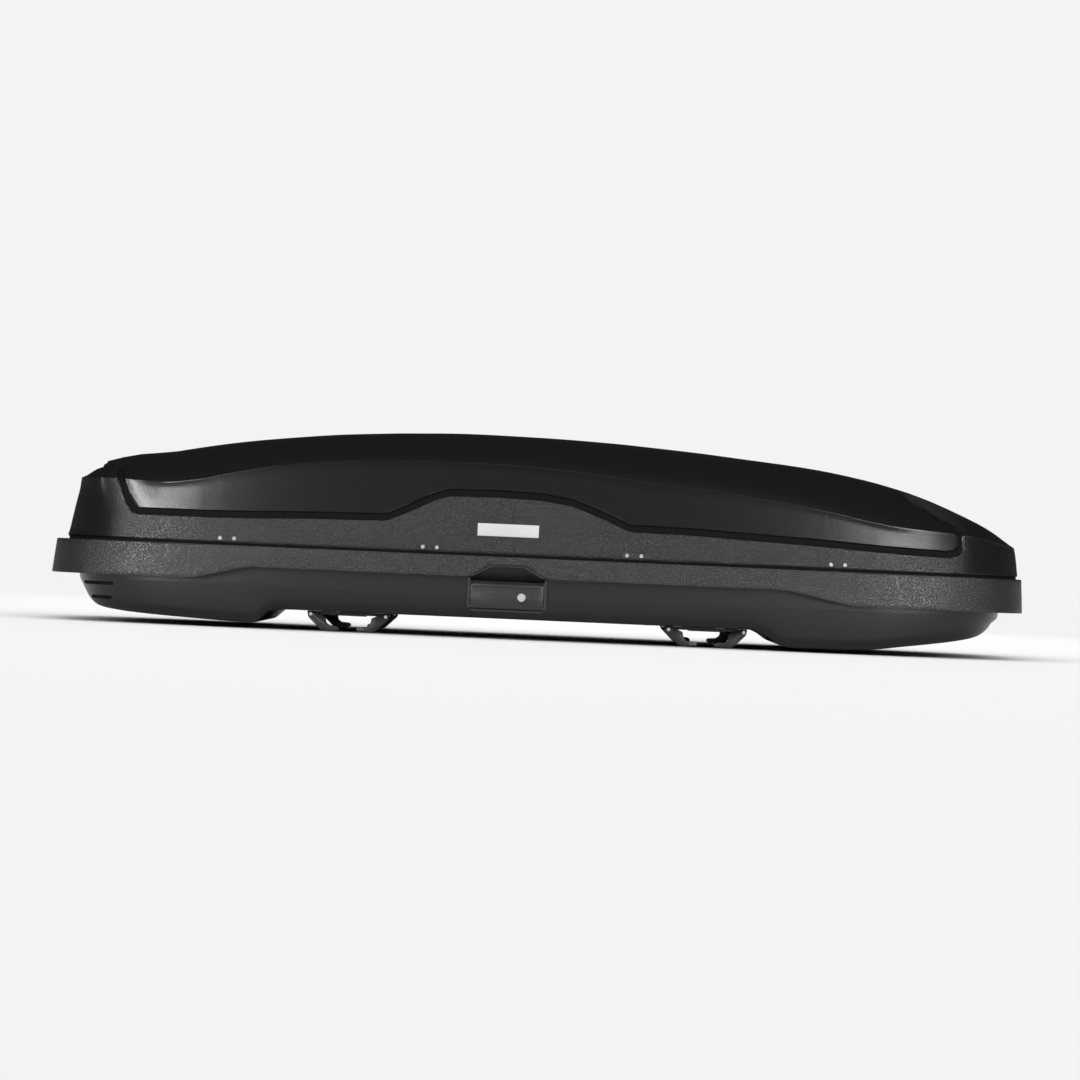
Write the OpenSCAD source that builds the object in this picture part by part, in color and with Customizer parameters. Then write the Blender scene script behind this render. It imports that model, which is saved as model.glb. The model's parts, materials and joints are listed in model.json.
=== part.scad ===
// Roof cargo box, dual-side opening, with four quick clamps.
// Millimetres. +X is the nose, +Y the left side, +Z up. z = 0 is the lowest point of the clamp jaws.

/* [Overall] */
// Half length of the base rim (overall length is twice this)
half_length = 1155; // [900:1:1300]
// Half width of the base rim skirt
half_width = 456; // [400:1:520]
// Height of the base rim above the jaw tips
seam_z = 190; // [180:1:230]
// Height of the roof crown above the base rim
crown = 292; // [230:1:340]
// Open gap between the base rim and the lid edge
seam_gap = 6; // [5:0.5:8]
// Wall thickness of lid and base
wall = 4; // [3:0.5:6]

/* [Hinges] */
// Height of the hinge pins above the base rim
pin_rise = 28; // [26:1:36]
// How far the hinge pin line stands inside the lid edge
pin_inset = 34; // [30:1:36]
// Hinge pin radius
pin_r = 3.5; // [3:0.1:4]
// Clearance round a hinge pin in its open cradle
pin_clear = 0.3; // [0.2:0.1:0.6]

/* [Handle] */
// Middle of the handle along the box
handle_x = -69; // [-200:1:200]
// Width of the handle bezel
handle_w = 185; // [150:1:220]
// Clearance round the handle in its opening
handle_clear = 0.4; // [0.2:0.1:1]

/* [Clamps] */
// Front crossbar position
front_bar_x = 400; // [300:1:400]
// Rear crossbar position
rear_bar_x = -440; // [-470:1:-340]
// Sideways position of the clamps
clamp_y = 290; // [240:1:300]
// Travel of a clamp along its slot
clamp_travel = 100; // [60:1:110]
// Width of a clamp jaw
jaw_w = 46; // [36:1:50]

/* [Struts] */
// Front lid strut position
front_strut_x = 560; // [500:1:600]
// Rear lid strut position
rear_strut_x = -600; // [-640:1:-560]

/* [Hidden] */
L = half_length;
W = half_width;
lid_w = W - 18;                       // half width of the lid edge
pin_y = lid_w - pin_inset;            // hinge pin line
pin_z = seam_z + pin_rise;
stations = [-723, -252, 222, 695];    // hinge brackets, at the rivet pairs
floor_drop = 144;                     // middle of the floor, below the rim
floor_z = seam_z - floor_drop;        // underside of the floor
deck_z = floor_z + wall;              // top of the floor
k_len = L / 1155;
k_roof = crown / 292;
rear_n = 5;                           // how square the tail is in plan
front_n = 4.4;                        // how square the nose is in plan
bracket_face = pin_y + 9;             // flat face the lid brackets sit on
cradle_face = pin_y - 10;             // flat face the cradles sit on
groove_depth = 2.4;

// Roof line on the centre, [x, height above the rim]
roof_line = [[-1155, 146], [-1093, 148], [-1059, 172], [-1007, 188], [-903, 214], [-799, 236],
    [-695, 253], [-591, 266], [-486, 277], [-399, 283], [-330, 287], [-164, 292], [0, 290],
    [166, 284], [273, 277], [369, 270], [457, 262], [640, 244], [763, 224], [885, 194],
    [1007, 147], [1069, 117], [1124, 79], [1131, 74], [1155, 72]];
// Character line along the lid side
crease_line = [[-1155, 146], [-957, 145], [-876, 142], [-800, 151], [-724, 169], [-623, 189],
    [-522, 203], [-386, 214], [-265, 217], [-104, 216], [56, 209], [267, 187], [386, 178],
    [535, 160], [684, 137], [779, 118], [863, 107], [975, 99], [1046, 91], [1080, 82],
    [1131, 73], [1155, 72]];
// Underside of the tub
belly_line = [[-1155, -144], [-1059, -155], [-946, -166], [-806, -173], [-659, -178],
    [-634, -160], [-618, -148], [-573, -144], [493, -144], [541, -159], [576, -179],
    [612, -183], [720, -182], [777, -179], [866, -168], [990, -151], [1064, -138], [1155, -128]];
// Height of the rim skirt
skirt_line = [[-1155, 80], [-825, 80], [-648, 48], [547, 48], [766, 80], [1155, 80]];
// Styling groove in the lid side
groove_path = [[-992, 176], [-985, 158], [-962, 98], [-947, 76], [-935, 71], [-775, 71],
    [-674, 73], [-522, 78], [-356, 81], [-303, 105], [-249, 132], [-212, 144], [-104, 146],
    [2, 143], [78, 132], [153, 104], [211, 79], [360, 77], [446, 73], [624, 66], [803, 56],
    [952, 51], [975, 56], [987, 74], [985, 98], [969, 114], [910, 153], [860, 176]];

function lerp(a, b, t) = a + (b - a) * t;
function roof_h(x) = seam_z + k_roof * lookup(x / k_len, roof_line);
function crease_h(x) = seam_z + k_roof * lookup(x / k_len, crease_line);
function belly_h(x) = seam_z + lookup(x / k_len, belly_line) * floor_drop / 144;
function skirt_h(x) = seam_z - lookup(x / k_len, skirt_line);

// Plan outline: share of the full half width at x
function plan_n(x) = x < 0 ? rear_n : front_n;
function plan_w(x) = pow(max(0, 1 - pow(min(1, abs(x) / L), plan_n(x))), 1 / plan_n(x));
function round_k(t, n) = pow(pow(cos(t), n) + pow(sin(t), n), -1 / n);
tail_turn = [0, 7, 14, 21, 27, 32, 37, 42, 47, 51, 54];
nose_turn = [0, 7, 14, 21, 28, 33, 38, 42, 46, 50];
mid_stops = [-760, -700, -659, -634, -618, -573, -480, -386, -265, -160, -40, 80, 200,
    300, 400, 493, 541, 576, 612, 684, 740];
plan = concat(
    [for (t = tail_turn) [-L * cos(t) * round_k(t, rear_n), sin(t) * round_k(t, rear_n)]],
    [for (x = mid_stops) [x * k_len, plan_w(x * k_len)]],
    [for (i = [len(nose_turn) - 1 : -1 : 0]) let (t = nose_turn[i])
        [L * cos(t) * round_k(t, front_n), sin(t) * round_k(t, front_n)]]);
n_plan = len(plan);
// The ends close in towards this x, so the steps of the belly stay where they are
hold_x = 790 * k_len;
function pull(x, rear, front) =
    x < -hold_x ? -hold_x + (x + hold_x) * (rear * k_len - hold_x) / (L - hold_x)
    : x > hold_x ? hold_x + (x - hold_x) * (front * k_len - hold_x) / (L - hold_x) : x;
function unpull(x, rear, front) =
    x < -hold_x ? -hold_x + (x + hold_x) * (L - hold_x) / (rear * k_len - hold_x)
    : x > hold_x ? hold_x + (x - hold_x) * (L - hold_x) / (front * k_len - hold_x) : x;

// Height of one ring at one place. kind: rim, skirt, belly, roof, side
crease_ring = [1095, 1131, lid_w - 20];
function roof_z(x, y) = let (
        w = crease_ring[2] * plan_w(unpull(x, crease_ring[0], crease_ring[1])),
        u = min(1, abs(y) / max(w, 1)))
    crease_h(x) + (roof_h(x) - crease_h(x)) * (1 - pow(u, 2.8));
function ring_z(kind, d, x, y) =
    kind == "rim" ? seam_z + d
    : kind == "skirt" ? skirt_h(x) + d
    : kind == "belly" ? belly_h(x) + d
    : kind == "roof" ? roof_z(x, y) + d
    : lerp(seam_z + seam_gap, crease_h(x), d);

function ring_point(r, i) = let (
        right = i < n_plan,
        p = plan[right ? i : 2 * n_plan - 2 - i],
        x = pull(p[0], r[0], r[1]),
        y = r[2] * p[1] * (right ? -1 : 1))
    [x, y, ring_z(r[3], r[4], x, y)];

// A closed skin through rings, capped across its first and last ring
module skin(rings) {
    m = 2 * n_plan - 2;
    k = len(rings);
    points = [for (r = rings) for (i = [0 : m - 1]) ring_point(r, i)];
    faces = concat(
        [for (j = [0 : k - 2]) for (i = [0 : m - 1]) let (a = j * m + i, b = j * m + (i + 1) % m)
            each [[a, b + m, a + m], [a, b, b + m]]],
        [for (i = [0 : n_plan - 2]) let (a = i, b = i + 1, c = (m - i) % m, d = (m - i - 1) % m)
            each concat(a == c ? [] : [[a, c, b]], b == d ? [] : [[b, c, d]])],
        [for (i = [0 : n_plan - 2]) let (o = (k - 1) * m, a = o + i, b = o + i + 1,
                c = o + (m - i) % m, d = o + (m - i - 1) % m)
            each concat(a == c ? [] : [[a, b, c]], b == d ? [] : [[b, d, c]])]);
    polyhedron(points, faces, 10);
}

// Ring: [rear end, front end, half width, kind, height]
function base_outer() = [
    [830, 830, 40, "belly", 0], [890, 900, 200, "belly", 0], [980, 990, 330, "belly", 0],
    [1026, 1036, W - 74, "belly", 0], [1052, 1062, W - 54, "belly", 7],
    [1068, 1080, W - 40, "belly", 26], [1088, 1097, W - 32, "rim", -92],
    [1096, 1105, W - 28, "rim", -14]];
function base_rim() = [
    [1140, 1144, W - 9, "rim", -14], [1150, 1150, W - 5, "skirt", 0],
    [1155, 1155, W, "skirt", 0], [1146, 1150, W - 3, "rim", -3], [1144, 1148, W - 5, "rim", 0],
    [1127, 1144, lid_w + 3, "rim", 0], [1126, 1143, lid_w + 2.5, "rim", -10],
    [1096 - wall, 1105 - wall, W - 28 - wall, "rim", -10]];
function base_inner() = [
    [1088 - wall, 1097 - wall, W - 32 - wall, "rim", -92],
    [1068 - wall, 1080 - wall, W - 40 - wall, "belly", 30],
    [1048, 1058, W - 60, "belly", 12], [1026, 1036, W - 78, "belly", wall],
    [980, 990, 330, "belly", wall], [890, 900, 200, "belly", wall],
    [830, 830, 40, "belly", wall]];

function lid_outer(d) = [
    [830 - d, 830 - d, 40, "roof", -d], [900 - d, 910 - d, 150, "roof", -d],
    [975 - d, 990 - d, 250, "roof", -d], [1030 - d, 1050 - d, 320, "roof", -d],
    [1065 - d, 1090 - d, 370, "roof", -d], [1085 - d, 1117 - d, 402 - d, "roof", -d],
    [1095 - d, 1131 - d, lid_w - 20 - d, "roof", -d],
    [1098 - d, 1134 - d, lid_w - 16 - d, "side", 0.8],
    [1107 - d, 1137 - d, lid_w - 10 - d, "side", 0.5],
    [1117 - d, 1140 - d, lid_w - 2 - d, "side", 0.12]];
lid_edge = [[1121, 1141, lid_w, "rim", seam_gap + 5], [1119, 1139, lid_w - 2, "rim", seam_gap],
    [1119 - wall, 1139 - wall, lid_w - 2 - wall, "rim", seam_gap]];
function backwards(v) = [for (i = [len(v) - 1 : -1 : 0]) v[i]];

module left() children();
module right() mirror([0, 1, 0]) children();
module both() { children(); mirror([0, 1, 0]) children(); }
module along_y(y0, y1) translate([0, y1, 0]) rotate([90, 0, 0]) linear_extrude(y1 - y0) children();
module along_x(x0, x1) translate([x0, 0, 0]) rotate([90, 0, 90]) linear_extrude(x1 - x0) children();
module box(x, y, z) translate([x[0], y[0], z[0]]) cube([x[1] - x[0], y[1] - y[0], z[1] - z[0]]);
module rod_x(r, x0, x1) translate([x0, 0, 0]) rotate([0, 90, 0]) cylinder(r = r, h = x1 - x0, $fn = 32);
module rod_y(r, y0, y1, n = 32) translate([0, y1, 0]) rotate([90, 0, 0])
    cylinder(r = r, h = y1 - y0, $fn = n);

black = [0.10, 0.10, 0.11];
dark = [0.16, 0.16, 0.17];
steel = [0.62, 0.63, 0.65];
bright = [0.85, 0.86, 0.88];
soft = [0.07, 0.07, 0.07];

// ---------- lid ----------
function side_dir(p, q) = let (d = q - p) [-d[1], d[0]] / norm(d);
function stroke(p, r) = let (n = len(p),
    nrm = [for (i = [0 : n - 1]) side_dir(p[max(0, i - 1)], p[min(n - 1, i + 1)])])
    concat([for (i = [0 : n - 1]) p[i] + nrm[i] * r],
        [for (i = [n - 1 : -1 : 0]) p[i] - nrm[i] * r]);

// Rivets: [x, y of the seat, z] on the left side
function lid_skin_y(x) = (lid_w - 0.5) * plan_w(x);
rivet_z = seam_z + 16;
rivet_dx = 16.5;

// Flat bosses under the roof for the strut brackets
// The lid pivot lies where the lid's swing carries it straight away from the base pivot
strut_arm = 228;
strut_turn = 127.6;
strut_reach_y = 2 * pin_y + strut_arm * cos(strut_turn);
strut_reach_z = strut_arm * sin(strut_turn);
function hanger_top(x) = roof_z(x, strut_reach_y - pin_y) - 8;
module strut_boss(x, s) box(s > 0 ? [x + 4, x + 20] : [x - 20, x - 4],
    [strut_reach_y - pin_y - 14, strut_reach_y - pin_y + 14], [hanger_top(x), hanger_top(x) + 30]);

module groove_tool() difference() {
    translate([0, 0, seam_z]) along_y(-W, W)
        scale([k_len, k_roof]) offset(delta = 7.3) polygon(stroke(groove_path, 0.2));
    skin(concat(lid_outer(groove_depth), [[1119 - groove_depth, 1139 - groove_depth,
        lid_w - 2 - groove_depth, "rim", -5]]));
}

module lid_rivet_holes() both() for (s = stations, d = [-rivet_dx, rivet_dx]) {
    y = lid_skin_y(s + d);
    translate([s + d, 0, rivet_z]) {
        rod_y(2.6, bracket_face - 5, y + 5, 16);
        rod_y(5, y - 1, y + 8, 16);
    }
}

// Everything inside the lid skin, for bosses that grow from it
module lid_filling() skin(concat(lid_outer(0.5), [[1116, 1136, lid_w - 5, "rim", seam_gap + 2]]));

module lid_shell() color(black) resize([0, 0, 0]) difference() {
    union() {
        skin(concat(lid_outer(0), lid_edge, backwards(lid_outer(wall))));
        intersection() {
            lid_filling();
            both() for (s = stations)
                box([s - 24, s + 24], [bracket_face, lid_w], [seam_z + seam_gap + 2, pin_z + 24]);
        }
        intersection() {
            lid_filling();
            union() {
                strut_boss(front_strut_x, 1);
                mirror([0, 1, 0]) strut_boss(rear_strut_x, -1);
            }
        }
    }
    groove_tool();
    lid_rivet_holes();
}

module lid_bracket(s) translate([s, 0, pin_z]) difference() {
    union() {
        difference() {
            box([-22, 22], [bracket_face - 3, bracket_face], [-19, 20]);
            box([-9.5, 9.5], [bracket_face - 4, bracket_face + 1], [-20, 9.5]);
        }
        for (x = [-15, 11]) {
            box([x, x + 4], [pin_y - 2, bracket_face - 2.9], [-6, 9]);
            translate([0, pin_y, 0]) rod_x(7, x, x + 4);
        }
    }
    translate([0, pin_y, 0]) rod_x(pin_r + 0.15, -20, 20);
    for (d = [-rivet_dx, rivet_dx]) translate([d, 0, rivet_z - pin_z]) rod_y(2.6, 300, 500);
}
module lid_brackets_left() color(steel) for (s = stations) lid_bracket(s);
module lid_brackets_right() color(steel) right() for (s = stations) lid_bracket(s);

module hinge_pins() for (s = stations) translate([s, pin_y, pin_z]) rod_x(pin_r, -15, 15);
module hinge_pins_left() color(bright) hinge_pins();
module hinge_pins_right() color(bright) right() hinge_pins();

module lid_rivets() for (s = stations, d = [-rivet_dx, rivet_dx]) {
    y = lid_skin_y(s + d);
    translate([s + d, 0, rivet_z]) {
        rod_y(2.5, bracket_face - 4, y);
        rod_y(4.5, y - 1, y + 1);
        rod_y(4, bracket_face - 5, bracket_face - 3);
    }
}
module lid_rivets_left() color(bright) lid_rivets();
module lid_rivets_right() color(bright) right() lid_rivets();

badge_lean = 4.4;
badge_z = seam_z + 62;
function badge_y() = let (hi = lerp(seam_gap, k_roof * 215, 0.5), lo = lerp(seam_gap, k_roof * 215, 0.12))
    lerp(lid_w - 2, lid_w - 10, (62 - lo) / (hi - lo));
module badge() translate([handle_x - 3, badge_y() + 1.8, badge_z]) rotate([badge_lean, 0, 0])
    along_y(-1, 1) square([142, 29], center = true);
module badge_plate_left() color(bright) badge();
module badge_plate_right() color(bright) right() badge();

// ---------- base ----------
slot_half = 13;
neck_half = 20;
function slot_range(x) = x > 0 ? [x - clamp_travel - neck_half - 2, x + neck_half + 2]
    : [x - neck_half - 2, x + clamp_travel + neck_half + 2];
bar_xs = [front_bar_x, rear_bar_x];

// Outline of the handle seen from the side, d larger all round
function handle_outline(d) = let (h = handle_w / 2 + d, t = 41.5 + d)
    [[-t, -19 + d], [t, -19 + d], [h, -48], [h, -117], [h - 11, -128 - d], [11 - h, -128 - d],
        [-h, -117], [-h, -48]];
strut_mount_z = [seam_z - 78, seam_z - 48];
module strut_pads() {
    box([front_strut_x + 7, front_strut_x + 23], [-W, -cradle_face], strut_mount_z);
    box([rear_strut_x - 23, rear_strut_x - 7], [cradle_face, W], strut_mount_z);
}

module base_shell() color(black) resize([0, 0, 0]) difference() {
    union() {
        skin(backwards(concat(base_outer(), base_rim(), base_inner())));
        intersection() {
            skin(backwards(concat(base_outer(), [[1096, 1105, W - 28.5, "rim", -12]])));
            union() {
                both() for (s = stations)
                    box([s - 12, s + 12], [cradle_face, W], [seam_z - 92, seam_z - 46]);
                strut_pads();
            }
        }
    }
    both() translate([handle_x, 0, seam_z]) along_y(cradle_face - 8, W + 5)
        polygon(handle_outline(handle_clear));
    both() for (x = bar_xs) box(slot_range(x), [clamp_y - slot_half, clamp_y + slot_half],
        [floor_z - 5, deck_z + 5]);
    both() for (s = stations, z = [-60, -80]) translate([s, 0, seam_z + z])
        rod_y(2.6, cradle_face - 1, cradle_face + 5.5);
    both() louvre_tool();
    both() for (x = bar_xs, e = [0, 1], dy = [-30, 30])
        translate([track_end(x, e), clamp_y + dy, floor_z - 1]) cylinder(r = 2.6, h = wall + 2, $fn = 24);
}

// Two short level grooves low on each rear corner
module louvre_tool() for (g = [[-1066, -990, -101], [-1046, -994, -134]])
    difference() {
        box([g[0], g[1]], [60, W], [seam_z + g[2] - 4, seam_z + g[2] + 4]);
        skin(backwards([for (r = base_outer()) [r[0] - 2.4, r[1] - 2.4, max(30, r[2] - 2.4), r[3], r[4]]]));
    }

module cradle(s) translate([s, 0, pin_z]) difference() {
    union() {
        box([-8, 8], [cradle_face - 5, cradle_face], [-pin_rise - 90, 3]);
        box([-8, 8], [cradle_face - 5, pin_y - 4], [-5, 3]);
        translate([0, pin_y, 0]) rod_x(7.5, -8, 8);
        box([-8, 8], [pin_y - 34, cradle_face - 4], [-18, -15]);
        box([-8, 8], [pin_y - 34, pin_y - 32], [-18, -6]);
    }
    translate([0, pin_y, 0]) rod_x(pin_r + pin_clear, -9, 9);
    box([-9, 9], [pin_y - pin_r - pin_clear, pin_y + pin_r + pin_clear], [0, 9]);
    for (z = [-60, -80]) translate([0, 0, z - pin_rise]) rod_y(2.6, cradle_face - 8, cradle_face + 2);
}
module hinge_cradles_left() color(steel) for (s = stations) cradle(s);
module hinge_cradles_right() color(steel) right() for (s = stations) cradle(s);

module cradle_rivets() for (s = stations, z = [-60, -80]) translate([s, 0, seam_z + z]) {
    rod_y(2.5, cradle_face - 5, cradle_face + 5);
    rod_y(4.5, cradle_face - 7, cradle_face - 5);
}
module cradle_rivets_left() color(bright) cradle_rivets();
module cradle_rivets_right() color(bright) right() cradle_rivets();

module latch_rail() translate([0, pin_y, pin_z]) {
    box([stations[0] - 20, stations[3] + 40], [-30, -27], [-14, -1]);
    for (s = stations) {
        box([s + 17.5, s + 24], [-30, -27], [-1.1, 8]);
        box([s + 17.5, s + 24], [-27.1, 3], [4.5, 8]);
    }
}
module latch_rail_left() color(steel) latch_rail();
module latch_rail_right() color(steel) right() latch_rail();

// ---------- handle ----------
paddle_pivot = [W - 37, -116];
module housing() translate([handle_x, 0, seam_z]) difference() {
    intersection() {
        along_y(cradle_face - 2, W) polygon(handle_outline(0));
        along_x(-handle_w, handle_w) polygon([[cradle_face - 2, -18], [W - 6, -18], [W - 3, -46],
            [W - 25, -50], [W - 25, -92], [W - 32, -129], [cradle_face - 2, -129]]);
    }
    intersection() {
        along_y(W - 60, W + 5) polygon([[-38, -23], [38, -23], [handle_w / 2 - 6, -50],
            [handle_w / 2 - 6, -62], [6 - handle_w / 2, -62], [6 - handle_w / 2, -50]]);
        along_x(-handle_w, handle_w) polygon([[W + 5, -22], [W - 9, -22], [W - 44, -57],
            [W - 44, -63], [W + 5, -63]]);
    }
    box([6.5 - handle_w / 2, handle_w / 2 - 6.5], [W - 45, W], [-123, -57]);
    translate([0, paddle_pivot[0], paddle_pivot[1]]) rod_x(2.6, 1 - handle_w / 2, handle_w / 2 - 1);
}
module handle_housing_left() color(dark) housing();
module handle_housing_right() color(dark) right() housing();

lock_dx = 34;
lock_dz = -92;
module paddle() translate([handle_x, 0, seam_z]) difference() {
    union() {
        along_x(8 - handle_w / 2, handle_w / 2 - 8) polygon([[W - 35, -66], [W - 28, -64],
            [W - 27, -92], [W - 32, -120], [W - 38, -121], [W - 42, -117], [W - 41, -112],
            [W - 35, -92]]);
        along_x(-78, 78) polygon([[W - 38, -61], [W - 26, -61], [W - 24, -65], [W - 25, -70],
            [W - 35, -71], [W - 38, -67]]);
        translate([lock_dx, 0, lock_dz]) rod_y(13, W - 43, W - 27.5);
    }
    translate([lock_dx, 0, lock_dz]) rod_y(9.7, W - 50, W);
    translate([0, paddle_pivot[0], paddle_pivot[1]]) rod_x(2.7, -handle_w, handle_w);
}
module handle_paddle_left() color(dark) paddle();
module handle_paddle_right() color(dark) right() paddle();

module paddle_pin() translate([handle_x, paddle_pivot[0], seam_z + paddle_pivot[1]])
    rod_x(2.5, 2 - handle_w / 2, handle_w / 2 - 2);
module handle_pin_left() color(steel) paddle_pin();
module handle_pin_right() color(steel) right() paddle_pin();

module lock() translate([handle_x + lock_dx, 0, seam_z + lock_dz]) difference() {
    union() {
        rod_y(9.4, W - 42, W - 25.5);
        rod_y(6, W - 25.6, W - 24.5);
    }
    box([-0.9, 0.9], [W - 30, W - 20], [-4.5, 4.5]);
}
module lock_cylinder_left() color(bright) lock();
module lock_cylinder_right() color(bright) right() lock();

// ---------- clamps ----------
track_pad = 27;
// The rivet heads stay clear of the clamp plate at both ends of its travel
rivet_out = 17.5;
function track_end(x, e) = slot_range(x)[e] + (e == 0 ? -rivet_out : rivet_out);
module clamp_tracks() color(steel) both() for (x = bar_xs) difference() {
    box([slot_range(x)[0] - track_pad, slot_range(x)[1] + track_pad],
        [clamp_y - 42, clamp_y + 42], [deck_z, deck_z + 2]);
    box([slot_range(x)[0] - 1, slot_range(x)[1] + 1],
        [clamp_y - slot_half - 1, clamp_y + slot_half + 1], [deck_z - 1, deck_z + 3]);
    for (e = [0, 1], dy = [-30, 30]) translate([track_end(x, e), clamp_y + dy, deck_z - 1])
        cylinder(r = 2.6, h = 4, $fn = 24);
}
module track_rivets() color(bright) both() for (x = bar_xs, e = [0, 1], dy = [-30, 30])
    translate([track_end(x, e), clamp_y + dy, 0]) {
        translate([0, 0, floor_z]) cylinder(r = 2.5, h = wall + 2, $fn = 24);
        translate([0, 0, deck_z + 2]) cylinder(r1 = 4.5, r2 = 3, h = 1.4, $fn = 24);
        translate([0, 0, floor_z - 1.2]) cylinder(r = 4.5, h = 1.2, $fn = 24);
    }

pivot_x = 88;
pivot_z = floor_z - 8.5;
beam_top = floor_z - 1.5;
beam_low = floor_z - 8;
seat_z = beam_low - 2;          // underside of the pad that rests on a crossbar

module clamp_body(x, y) translate([x, y, 0]) difference() {
    union() {
        box([-neck_half, neck_half], [-slot_half + 0.6, slot_half - 0.6], [beam_low, deck_z + 3]);
        box([-34, 34], [-36, 36], [deck_z + 2.3, deck_z + 9]);
        translate([0, 0, deck_z + 8]) cylinder(r = 22, h = 8, $fn = 48);
        box([-pivot_x - 8, pivot_x + 8], [-14, 14], [beam_low, beam_top]);
        for (s = [-1, 1]) translate([s * pivot_x, 0, pivot_z]) {
            translate([0, 14, 0]) rotate([90, 0, 0]) cylinder(r = 6.8, h = 28, $fn = 32);
        }
    }
    translate([0, 0, beam_low - 1]) cylinder(r = 5.3, h = 60, $fn = 32);
    for (s = [-1, 1]) translate([s * pivot_x, 0, pivot_z]) rod_y(4.1, -20, 20);
}

// A claw seen from the side; the bar is held between the seat and the two toes
claw = [[pivot_x + 7, floor_z - 11], [pivot_x + 4, floor_z - 17], [65, 3], [60, 0], [26, 0],
    [21, 3], [21, 8], [26, 11], [44, 12], [52, 18], [55, floor_z - 13], [80, floor_z - 2],
    [pivot_x, floor_z - 1.2], [pivot_x + 5, floor_z - 3]];
module jaw() difference() {
    union() {
        intersection() {
            along_y(-jaw_w / 2, jaw_w / 2) polygon(claw);
            box([0, 200], [-50, 50], [-1, floor_z - 20]);
        }
        for (s = [-1, 1]) translate([0, s * (jaw_w / 4 + 7.5), 0])
            along_y(-jaw_w / 4 + 7.5, jaw_w / 4 - 7.5) polygon(claw);
    }
    translate([pivot_x, 0, pivot_z]) rod_y(4.1, -40, 40);
    for (i = [0 : 3]) translate([35 + i * 7, 0, 0]) box([0, 2.5], [-50, 50], [-1, 1.2]);
}
module jaw_front(x, y) translate([x, y, 0]) jaw();
module jaw_rear(x, y) translate([x, y, 0]) mirror([1, 0, 0]) jaw();

module jaw_pins(x, y) for (s = [-1, 1]) translate([x + s * pivot_x, y, pivot_z])
    rod_y(3.9, -jaw_w / 2 - 1, jaw_w / 2 + 1);

module clamp_screw(x, y) translate([x, y, 0]) {
    translate([0, 0, beam_low + 1]) cylinder(r = 5, h = deck_z + 34 - beam_low, $fn = 32);
}
module clamp_knob(x, y) translate([x, y, deck_z + 16.4]) difference() {
    union() {
        cylinder(r = 26, h = 20, $fn = 48);
        for (a = [0 : 60 : 359]) rotate(a) translate([25, 0, 0]) cylinder(r = 9.5, h = 18, $fn = 24);
        translate([0, 0, 19.9]) cylinder(r1 = 22, r2 = 17, h = 5, $fn = 48);
    }
    translate([0, 0, -1]) cylinder(r = 5.1, h = 20, $fn = 32);
    for (a = [30 : 60 : 359]) rotate(a) translate([34, 0, -1]) cylinder(r = 7, h = 30, $fn = 24);
}
module clamp_pad(x, y) translate([x, y, 0]) difference() {
    box([-42, 42], [-13, 13], [seat_z, beam_low]);
    for (i = [-4 : 4]) translate([i * 9, 0, 0]) box([-1, 1], [-14, 14], [seat_z - 1, seat_z + 0.8]);
}

module clamp_body_front_left() color(dark) clamp_body(front_bar_x, clamp_y);
module clamp_body_front_right() color(dark) clamp_body(front_bar_x, -clamp_y);
module clamp_body_rear_left() color(dark) clamp_body(rear_bar_x, clamp_y);
module clamp_body_rear_right() color(dark) clamp_body(rear_bar_x, -clamp_y);
module claw_front_of_front_left() color(black) jaw_front(front_bar_x, clamp_y);
module claw_front_of_front_right() color(black) jaw_front(front_bar_x, -clamp_y);
module claw_front_of_rear_left() color(black) jaw_front(rear_bar_x, clamp_y);
module claw_front_of_rear_right() color(black) jaw_front(rear_bar_x, -clamp_y);
module claw_back_of_front_left() color(black) jaw_rear(front_bar_x, clamp_y);
module claw_back_of_front_right() color(black) jaw_rear(front_bar_x, -clamp_y);
module claw_back_of_rear_left() color(black) jaw_rear(rear_bar_x, clamp_y);
module claw_back_of_rear_right() color(black) jaw_rear(rear_bar_x, -clamp_y);
module claw_pins_front_left() color(steel) jaw_pins(front_bar_x, clamp_y);
module claw_pins_front_right() color(steel) jaw_pins(front_bar_x, -clamp_y);
module claw_pins_rear_left() color(steel) jaw_pins(rear_bar_x, clamp_y);
module claw_pins_rear_right() color(steel) jaw_pins(rear_bar_x, -clamp_y);
module clamp_screw_front_left() color(steel) clamp_screw(front_bar_x, clamp_y);
module clamp_screw_front_right() color(steel) clamp_screw(front_bar_x, -clamp_y);
module clamp_screw_rear_left() color(steel) clamp_screw(rear_bar_x, clamp_y);
module clamp_screw_rear_right() color(steel) clamp_screw(rear_bar_x, -clamp_y);
module clamp_knob_front_left() color(dark) clamp_knob(front_bar_x, clamp_y);
module clamp_knob_front_right() color(dark) clamp_knob(front_bar_x, -clamp_y);
module clamp_knob_rear_left() color(dark) clamp_knob(rear_bar_x, clamp_y);
module clamp_knob_rear_right() color(dark) clamp_knob(rear_bar_x, -clamp_y);
module bar_pad_front_left() color(soft) clamp_pad(front_bar_x, clamp_y);
module bar_pad_front_right() color(soft) clamp_pad(front_bar_x, -clamp_y);
module bar_pad_rear_left() color(soft) clamp_pad(rear_bar_x, clamp_y);
module bar_pad_rear_right() color(soft) clamp_pad(rear_bar_x, -clamp_y);

// ---------- lid struts ----------
// Drawn along +Y from the base pivot to the lid pivot, then leaned up into place
strut_len = norm([strut_reach_y, strut_reach_z]);
strut_lean = atan2(strut_reach_z, strut_reach_y);
// Front strut: base pivot on the right pin line, reaching to the left
module front_strut_place() translate([front_strut_x, -pin_y, pin_z]) rotate([strut_lean, 0, 0]) children();
module rear_strut_place() translate([rear_strut_x, pin_y, pin_z]) rotate([strut_lean, 0, 180])
    children();

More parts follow.
